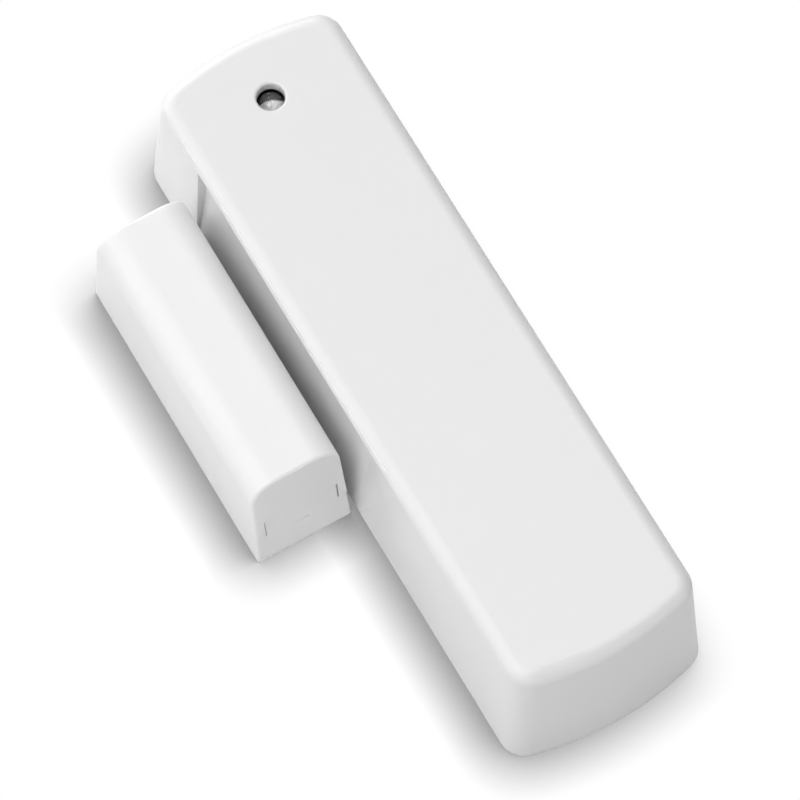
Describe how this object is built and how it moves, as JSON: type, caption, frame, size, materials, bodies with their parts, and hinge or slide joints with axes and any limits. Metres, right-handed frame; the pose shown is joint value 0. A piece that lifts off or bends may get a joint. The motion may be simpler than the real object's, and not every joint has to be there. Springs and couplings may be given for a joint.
{
  "type": "door window sensor",
  "caption": "Wireless door and window contact in white plastic: a long transmitter block with a status light and a side recess, and a small magnet block beside it.",
  "frame": {"origin": "centre of the transmitter's mounting face, on the surface that both blocks are fixed to", "axes": "+X across the blocks and away from the magnet block, +Y along the transmitter towards its light, +Z out from the mounting surface"},
  "size_m": [0.036, 0.0821, 0.0195],
  "materials": {
    "housing": "fine satin moulded",
    "base": "fine satin moulded",
    "tape": "foam tape with a smooth liner",
    "board": "solder mask",
    "module_board": "solder mask",
    "steel": "zinc plated",
    "spring_steel": "drawn wire",
    "nickel": "nickel plated strip",
    "tin": "tinned",
    "can": "drawn and plated",
    "copper": "enamelled wire",
    "lens": "clear moulded resin",
    "glass": "drawn glass tube",
    "chip": "moulded epoxy",
    "ceramic": "fired ceramic",
    "cell": "nickel plated can",
    "wrap": "shrink film",
    "magnet": "pressed ferrite"
  },
  "bodies": {
    "root": {"sensor_cover": "housing", "sensor_base": "base", "sensor_adhesive": "tape", "circuit_board": "board", "board_screws": "steel", "led_lens": "lens", "led_leads": "tin", "reed_capsule": "glass", "reed_blade_near": "tin", "reed_blade_far": "tin", "tamper_contact": "spring_steel", "radio_module": "module_board", "shield_can": "can", "microcontroller": "chip", "microcontroller_legs": "tin", "crystal": "can", "capacitors": "ceramic", "resistors": "chip", "antenna": "copper", "battery": "cell", "battery_wrap": "wrap", "battery_contact": "nickel", "battery_spring_plate": "nickel", "battery_spring": "spring_steel", "magnet_cover": "housing", "magnet_base": "base", "bar_magnet": "magnet", "magnet_adhesive": "tape"}
  },
  "joints": []
}
